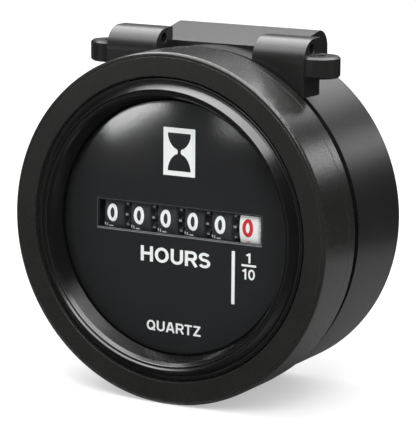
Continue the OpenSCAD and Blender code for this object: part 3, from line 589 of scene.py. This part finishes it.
def banded_figure(digit, pen, marks):
    shape = lettering(str(digit), pen)
    u0, u1 = extent(shape, 0)
    for v in shape.verts:
        v.co = Vector(((v.co.x - (u0 + u1) / 2) * FIGURE_W / FIELD_W, (v.co.y - 0.5) * FIGURE_H, v.co.z))
    for mark in marks:
        shape.faces.new([shape.verts.new((x, y, 0)) for x, y in rectangle(*mark)])
    for cut in BANDS:
        bmesh.ops.bisect_plane(shape, geom=shape.verts[:] + shape.edges[:] + shape.faces[:],
                               plane_co=(0, cut * BAND_MM, 0), plane_no=(0, 1, 0))
    return shape


def drum_figures(k, body, material, pen, marks):
    low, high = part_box(f"wheel_{k}")
    drum_r = (high.z - low.z) / 2
    x_mid = low.x + (GEAR_W + DRUM_W / 2 + SIDE_MM) * MM
    y_mid, z_mid = (low.y + high.y) / 2, (low.z + high.z) / 2
    joined = bmesh.new()
    for digit in range(10):
        shape = banded_figure(digit, pen, [] if digit else marks)
        for v in shape.verts:
            turn = math.radians(PITCH_DEG * digit - LIFT_DEG) - v.co.y * MM / drum_r
            r = drum_r + (INK_MM + v.co.z) * MM
            v.co = Vector((x_mid + v.co.x * MM, y_mid - r * math.cos(turn), z_mid - r * math.sin(turn)))
        part = bpy.data.meshes.new("part")
        shape.to_mesh(part)
        shape.free()
        joined.from_mesh(part)
        bpy.data.meshes.remove(part)
    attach(link_mesh(f"figures_{k}", joined, material), body)


WHEELS = ["ten_thousands", "thousands", "hundreds", "tens", "units"]
for k, body in enumerate(WHEELS, 1):
    drum_figures(k, body, white_ink, 0.2, WHITE_GLINT_TICKS_AND_DASH)
drum_figures(6, "tenths", red_ink, 0.21, RED_MARKS)
print("figures:", 10 * (len(WHEELS) + 1))

# %% [markdown]
# At the right of each dark drum sits a small gear. Its tooth tips carry painted glints, so they
# show as bright dots in the gaps. Each tip face of the solid is copied a hair further out in the
# bright painted highlight colour.

# %% Painted glints on the tooth tips
TIP_LIFT, TIP_SLACK, END_SLACK = 0.015, 0.02, 0.05


def tooth_tips(k, body):
    solid = solids[f"wheel_{k}"]
    low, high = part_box(f"wheel_{k}")
    y_mid, z_mid = (low.y + high.y) / 2, (low.z + high.z) / 2
    spots = [solid.matrix_world @ v.co for v in solid.data.vertices]
    reach = [math.hypot(p.y - y_mid, p.z - z_mid) for p in spots]
    end = [i for i, p in enumerate(spots) if p.x > high.x - END_SLACK * MM]
    tip_r = max(reach[i] for i in end)
    shape = bmesh.new()
    for face in solid.data.polygons:
        on_gear = all(spots[i].x > high.x - GEAR_W * MM for i in face.vertices)
        if on_gear and all(abs(reach[i] - tip_r) < TIP_SLACK * MM for i in face.vertices):
            out = (solid.matrix_world.to_3x3() @ face.normal).normalized() * TIP_LIFT * MM
            shape.faces.new([shape.verts.new(spots[i] + out) for i in face.vertices])
    # Painted glints: the copied tip faces take the bright painted highlight colour
    piece = link_mesh(f"tooth_tips_{k}", shape, bright_painted_highlight)
    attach(piece, body)
    return len(piece.data.polygons)


print("tip faces:", [tooth_tips(k, body) for k, body in enumerate(WHEELS, 1)])

# %% [markdown]
# The meter stands on a pale floor that runs out of view. The floor is plain diffuse paper with
# a little glow for the camera, so that it reads as white and still keeps the soft shadow. The
# world is white to the camera and to mirrored and refracted rays, and gives a calm fill.

# %% Floor and world
bottom = cad_box[0].z
FLOOR_M, FLOOR_GLOW = 4, 0.42
QUAD = [(0, 1, 2, 3)]


def stage_mesh(name, points, faces, material):
    mesh = bpy.data.meshes.new(name)
    mesh.from_pydata(points, [], faces)
    mesh.materials.append(material)
    piece = bpy.data.objects.new(name, mesh)
    bpy.context.scene.collection.objects.link(piece)
    piece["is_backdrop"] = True
    return piece


def background_rays(tree):
    seen = add_node(tree, "ShaderNodeLightPath").outputs
    first = add_node(tree, "ShaderNodeMath", {0: seen["Is Camera Ray"], 1: seen["Is Glossy Ray"]},
                     operation="MAXIMUM")
    all_three = add_node(tree, "ShaderNodeMath", {0: first.outputs[0], 1: seen["Is Transmission Ray"]},
                         operation="MAXIMUM")
    return all_three.outputs[0]


# Backdrop paper: dead matt, pale enough to read as white and to keep a soft shadow
paper, tree = new_material("White_paper_floor")
matt = add_node(tree, "ShaderNodeBsdfDiffuse", {"Color": linear("#cccccc")})
part_white = add_node(tree, "ShaderNodeMath", {0: background_rays(tree), 1: FLOOR_GLOW},
                      operation="MULTIPLY")
glow = add_node(tree, "ShaderNodeEmission", {"Color": linear("#ffffff"), "Strength": part_white.outputs[0]})
both = add_node(tree, "ShaderNodeAddShader", {0: matt.outputs["BSDF"], 1: glow.outputs["Emission"]})
add_node(tree, "ShaderNodeOutputMaterial", {"Surface": both.outputs["Shader"]})
corners = [(x * FLOOR_M, y * FLOOR_M, bottom) for x, y in rectangle(-1, 1, -1, 1)]
stage_mesh("pale_floor", corners, QUAD, paper)

world = bpy.data.worlds.new("studio")
bpy.context.scene.world = world
world.use_nodes = True
tree = world.node_tree
tree.nodes.clear()
fill = add_node(tree, "ShaderNodeBackground", {"Color": linear("#ffffff"), "Strength": 1.0})
white = add_node(tree, "ShaderNodeBackground", {"Color": linear("#ffffff"), "Strength": 1.0})
pick = add_node(tree, "ShaderNodeMixShader",
                {"Fac": background_rays(tree), 1: fill.outputs["Background"], 2: white.outputs["Background"]})
add_node(tree, "ShaderNodeOutputWorld", {"Surface": pick.outputs["Shader"]})
print("floor at", round(bottom / MM, 2), "mm")

# %% [markdown]
# Black plastic is drawn by reflections alone, so a photographer sets dark cards round it and
# bright panels above, and lets only chosen lamps show in its surfaces. All of them are seen by
# reflections and by nothing else. A black screen stands all round, a dark card lies in front of
# the dial, a grey one under the sides of the meter and a dark one behind it. The two panels, the
# front one about half as bright, shine in every slope and edge that looks up: the collar, the rim of
# the ring, the rounded knuckles. Places are in millimetres about the dial axis.

# %% Dark cards and bright panels


def card(name, points, faces, colour, glow=0.0):
    sheet, tree = new_material(name + "_sheet")
    if glow:
        face = add_node(tree, "ShaderNodeEmission", {"Color": linear(colour), "Strength": glow})
    else:
        face = add_node(tree, "ShaderNodeBsdfDiffuse", {"Color": linear(colour)})
    add_node(tree, "ShaderNodeOutputMaterial", {"Surface": face.outputs[0]})
    piece = stage_mesh(name, points, faces, sheet)
    piece.visible_camera = False
    piece.visible_diffuse = False
    piece.visible_transmission = False
    piece.visible_shadow = False


def level_sheet(half_width, front, rear, height):
    return [at(x, y, height) for x, y in rectangle(-half_width, half_width, front, rear)]


SIDES, SCREEN_R, SCREEN_H = 48, 650, 640
CARD_REACH, PANEL_REACH, PANEL_H = 640, 500, 500
CARD_LIFT = 0.4
FOOT = (bottom - AXIS_Z) / MM + CARD_LIFT
turns = [2 * math.pi * i / SIDES for i in range(SIDES)]
walls = [at(SCREEN_R * math.cos(a), SCREEN_R * math.sin(a), z) for z in (FOOT, SCREEN_H) for a in turns]
wall_faces = [(i, (i + 1) % SIDES, SIDES + (i + 1) % SIDES, SIDES + i) for i in range(SIDES)]
card("standing_screen", walls, wall_faces, "#0d0d0d")
card("front_card", level_sheet(CARD_REACH, -CARD_REACH, -1, FOOT), QUAD, "#1a1a1a")
card("rear_card", level_sheet(CARD_REACH, 100, CARD_REACH, FOOT), QUAD, "#2c2c2c")
card("near_card", level_sheet(CARD_REACH, -1, 100, FOOT), QUAD, "#8c8c8c")
card("white_panel", level_sheet(PANEL_REACH, -60, 550, PANEL_H), QUAD, "#ffffff", glow=8.0)
card("grey_panel", level_sheet(PANEL_REACH, -470, -61, PANEL_H), QUAD, "#ffffff", glow=4.5)
print("cards: 4, panels: 2")

# %% [markdown]
# The lamps are softboxes at one distance, each given by the direction in which it stands, in
# degrees, its size in metres and its brightness. Wide ones overhead and in front light the dial
# and the slopes, strips behind draw the bright bands along the round sides, and small ones at
# the front left show as crescents in the lens.

# %% Softboxes
middle = at(0, 10, 0)
LAMP_M = 0.6


def softbox(name, azimuth, elevation, wide, high, radiance, roll=0):
    lamp = bpy.data.lights.new(name, "AREA")
    lamp.shape = "RECTANGLE"
    lamp.size, lamp.size_y = wide, high
    lamp.energy = radiance * math.pi * wide * high
    holder = bpy.data.objects.new(name, lamp)
    a, e = math.radians(azimuth), math.radians(elevation)
    away = Vector((math.sin(a) * math.cos(e), -math.cos(a) * math.cos(e), math.sin(e)))
    aim = away.to_track_quat("Z", "Y").to_matrix().to_4x4() @ Matrix.Rotation(math.radians(roll), 4, "Z")
    holder.matrix_world = Matrix.Translation(middle + away * LAMP_M) @ aim
    bpy.context.scene.collection.objects.link(holder)


softbox("overhead_softbox", -70, 66, wide=0.42, high=0.42, radiance=2.6)
softbox("front_softbox", 30, 42, wide=0.30, high=0.30, radiance=7.0)
softbox("back_strip", 197, 29, wide=0.50, high=0.10, radiance=0.8)
softbox("top_right_strip", 174, 31, wide=0.20, high=0.10, radiance=3.0)
softbox("right_strip", 156, 16, wide=0.09, high=0.09, radiance=5.5)
softbox("left_softbox", -35.5, 3.0, wide=0.10, high=0.03, radiance=10.0, roll=28)
softbox("left_small_softbox", -20, 3.4, wide=0.05, high=0.04, radiance=3.0)
print("lamps: 7")

# %% [markdown]
# The camera repeats the viewing angle of the photograph: from the right, a little above, with
# a long lens. The numbers say at which pixel of a 416 by 433 picture the middle of the ring
# face lies; from them follows the place of the camera, with no lens shift.

# %% Camera
AZIMUTH, ELEVATION, ROLL, DISTANCE = math.radians(29.3), math.radians(11.0), math.radians(0.5), 0.4
PICTURE_W, PICTURE_H, SENSOR_MM = 416, 433, 36.0
FOCAL_PX, FACE_U, FACE_V = 2474.0, 165.3, 230.8
level = Vector((math.sin(AZIMUTH), -math.cos(AZIMUTH), 0))
back = level * math.cos(ELEVATION) + Vector((0, 0, math.sin(ELEVATION)))
right = Vector((math.cos(AZIMUTH), math.sin(AZIMUTH), 0))
up = back.cross(right)
right, up = (right * math.cos(ROLL) + up * math.sin(ROLL), up * math.cos(ROLL) - right * math.sin(ROLL))
lens_data = bpy.data.cameras.new("camera")
lens_data.sensor_fit = "HORIZONTAL"
lens_data.sensor_width = SENSOR_MM
lens_data.lens = FOCAL_PX / PICTURE_W * SENSOR_MM
lens_data.clip_start, lens_data.clip_end = 0.01, 20
camera = bpy.data.objects.new("camera", lens_data)
spot = at(0, 0, 0) + back * DISTANCE
spot += (up * (FACE_V - PICTURE_H / 2) - right * (FACE_U - PICTURE_W / 2)) / FOCAL_PX * DISTANCE
camera.matrix_world = Matrix.Translation(spot) @ Matrix((right, up, back)).transposed().to_4x4()
bpy.context.scene.collection.objects.link(camera)
bpy.context.scene.camera = camera
print("camera", [round(c, 4) for c in spot], "lens", round(lens_data.lens, 1), "mm")

# %% [markdown]
# Last, the box of the dressed part is set beside the box of the solids, and the growth in size is printed.
# The dressing must not make the meter larger.

# %% Compare the boxes and finish
dressed_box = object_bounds()
growth = (dressed_box[1] - dressed_box[0]) - (cad_box[1] - cad_box[0])
print("size grows by", [round(g / MM, 3) for g in growth], "mm")
